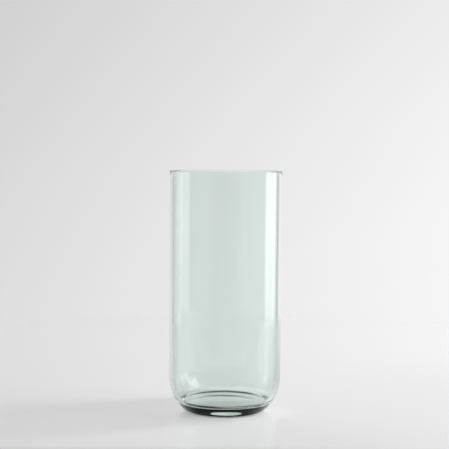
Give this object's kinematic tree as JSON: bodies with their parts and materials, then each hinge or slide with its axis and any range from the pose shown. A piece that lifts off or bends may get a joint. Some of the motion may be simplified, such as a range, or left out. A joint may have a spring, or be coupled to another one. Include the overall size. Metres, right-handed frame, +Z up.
{
  "type": "glass cylinder vase",
  "caption": "Tall cylinder vase of clear glass with a faint green tint, a round heel, a heavy dished base and a polished open rim, for water and cut flowers.",
  "frame": {"origin": "middle of the flat foot, on the table", "axes": "+Z up the axis of the vase, out of its mouth; the vase is round, so +X and +Y are free"},
  "size_m": [0.1174, 0.1174, 0.25],
  "materials": {
    "green_tinted_glass": "clear, polished, faint green tint"
  },
  "bodies": {
    "root": {"vessel": "green_tinted_glass"}
  },
  "joints": []
}
